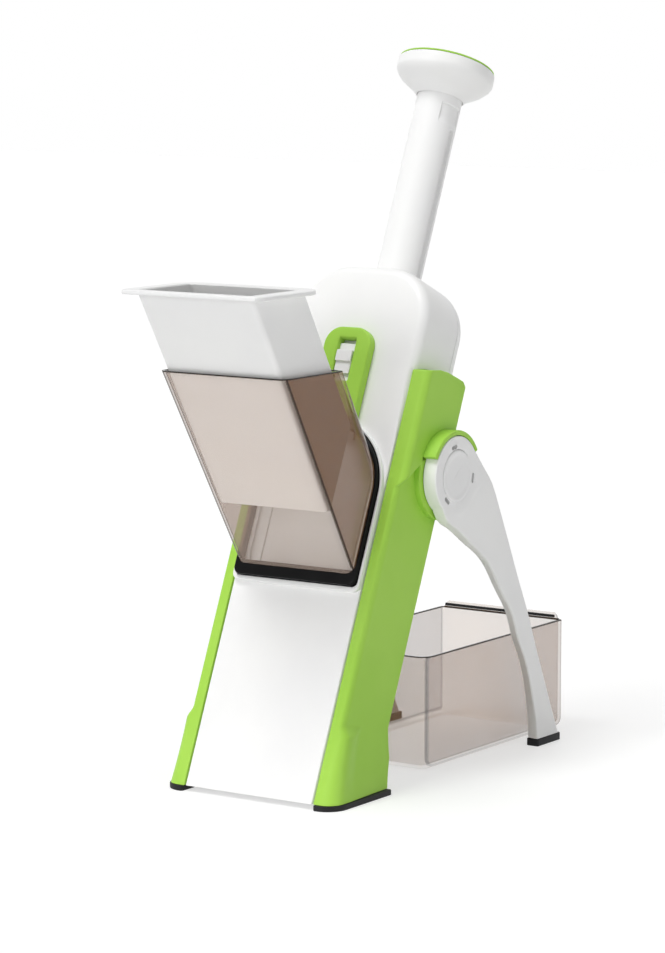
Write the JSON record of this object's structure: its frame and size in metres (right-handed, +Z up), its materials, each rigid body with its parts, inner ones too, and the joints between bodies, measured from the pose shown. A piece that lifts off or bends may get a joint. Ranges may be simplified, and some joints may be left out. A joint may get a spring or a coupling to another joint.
{
  "type": "vegetable chopper",
  "caption": "Upright vegetable chopper: a spring plunger drives a blade carriage past a clear food chute in a leaning housing, with folding rear legs and a clear tray.",
  "frame": {"origin": "on the table under the middle of the whole object, tray and pusher included", "axes": "+X to the right of the user, +Y from the food chute toward the rear legs, +Z up"},
  "size_m": [0.1358, 0.349, 0.4353],
  "materials": {
    "white_plastic": "satin moulded white",
    "green_plastic": "satin moulded leaf green",
    "smoked_clear": "polished clear with a light brown smoke",
    "steel": "ground stainless steel",
    "black_rubber": "matt black rubber"
  },
  "bodies": {
    "housing": {"front_housing": "white_plastic", "rear_cover": "white_plastic", "right_side_panel": "green_plastic", "left_side_panel": "green_plastic", "right_base_foot": "black_rubber", "left_base_foot": "black_rubber", "latch_bezel": "green_plastic", "guide_bush": "white_plastic", "right_pivot_pin": "steel", "left_pivot_pin": "steel", "right_guide_rod": "steel", "left_guide_rod": "steel", "spring_seat": "white_plastic", "spring_guide_rod": "steel", "return_spring": "steel"},
    "plunger": {"plunger_tube": "white_plastic", "handle_knob": "white_plastic", "knob_cap": "green_plastic", "blade_carriage": "white_plastic", "slicing_blade": "steel"},
    "thickness_plate": {"thickness_plate": "white_plastic"},
    "julienne_comb": {"julienne_comb": "steel"},
    "thickness_dial": {"thickness_dial": "green_plastic"},
    "julienne_dial": {"julienne_dial": "green_plastic"},
    "chute": {"food_chute": "smoked_clear", "chute_gasket": "black_rubber"},
    "pusher": {"food_pusher": "white_plastic"},
    "latch": {"chute_latch": "white_plastic"},
    "right_leg": {"right_leg": "white_plastic", "right_leg_pad": "black_rubber"},
    "left_leg": {"left_leg": "white_plastic", "left_leg_pad": "black_rubber"},
    "right_button": {"right_leg_button": "white_plastic"},
    "left_button": {"left_leg_button": "white_plastic"},
    "tray": {"collection_tray": "smoked_clear", "tray_strip": "black_rubber"}
  },
  "joints": [
    {"name": "plunger_slide", "type": "slide", "parent": "housing", "child": "plunger", "axis": [0, 0.3971, 0.9178], "range_m": [-0.105, 0], "stiffness_N_per_m": 150, "springref_m": 0.05, "deforming": ["return_spring"]},
    {"name": "thickness_dial_turn", "type": "hinge", "parent": "plunger", "child": "thickness_dial", "pos_m": [-0.022, -0.02993, 0.12773], "axis": [0, 0.9178, -0.3971], "range_deg": [-54, 180]},
    {"name": "thickness_plate_slide", "type": "slide", "parent": "plunger", "child": "thickness_plate", "axis": [0, 0.9178, -0.3971], "range_m": [-0.0015, 0.005]},
    {"name": "julienne_dial_turn", "type": "hinge", "parent": "plunger", "child": "julienne_dial", "pos_m": [0.022, -0.02993, 0.12773], "axis": [0, 0.9178, -0.3971], "range_deg": [0, 90]},
    {"name": "julienne_comb_slide", "type": "slide", "parent": "plunger", "child": "julienne_comb", "axis": [0, -0.9178, 0.3971], "range_m": [0, 0.0024]},
    {"name": "chute_off", "type": "slide", "parent": "housing", "child": "chute", "axis": [0, -0.9178, 0.3971], "range_m": [0, 0.06]},
    {"name": "pusher_slide", "type": "slide", "parent": "chute", "child": "pusher", "axis": [0, -0.5181, 0.8553], "range_m": [-0.04, 0.15]},
    {"name": "latch_slide", "type": "slide", "parent": "housing", "child": "latch", "axis": [0, 0.3971, 0.9178], "range_m": [0, 0.006], "stiffness_N_per_m": 200, "springref_m": -0.002},
    {"name": "right_leg_fold", "type": "hinge", "parent": "housing", "child": "right_leg", "pos_m": [0.063, 0.01148, 0.18315], "axis": [1, 0, 0], "range_deg": [-42, 0]},
    {"name": "left_leg_fold", "type": "hinge", "parent": "housing", "child": "left_leg", "pos_m": [-0.063, 0.01148, 0.18315], "axis": [1, 0, 0], "range_deg": [-42, 0]},
    {"name": "right_button_press", "type": "slide", "parent": "right_leg", "child": "right_button", "axis": [-1, 0, 0], "range_m": [0, 0.003], "stiffness_N_per_m": 300, "springref_m": -0.002},
    {"name": "left_button_press", "type": "slide", "parent": "left_leg", "child": "left_button", "axis": [1, 0, 0], "range_m": [0, 0.003], "stiffness_N_per_m": 300, "springref_m": -0.002},
    {"name": "tray_slide", "type": "slide", "parent": "housing", "child": "tray", "axis": [0, 1, 0], "range_m": [0, 0.2]}
  ],
  "couplings": [
    {"joint": "thickness_dial_turn", "follows": "thickness_plate_slide", "rad_per_m": 628.3},
    {"joint": "julienne_dial_turn", "follows": "julienne_comb_slide", "rad_per_m": 654.45}
  ]
}
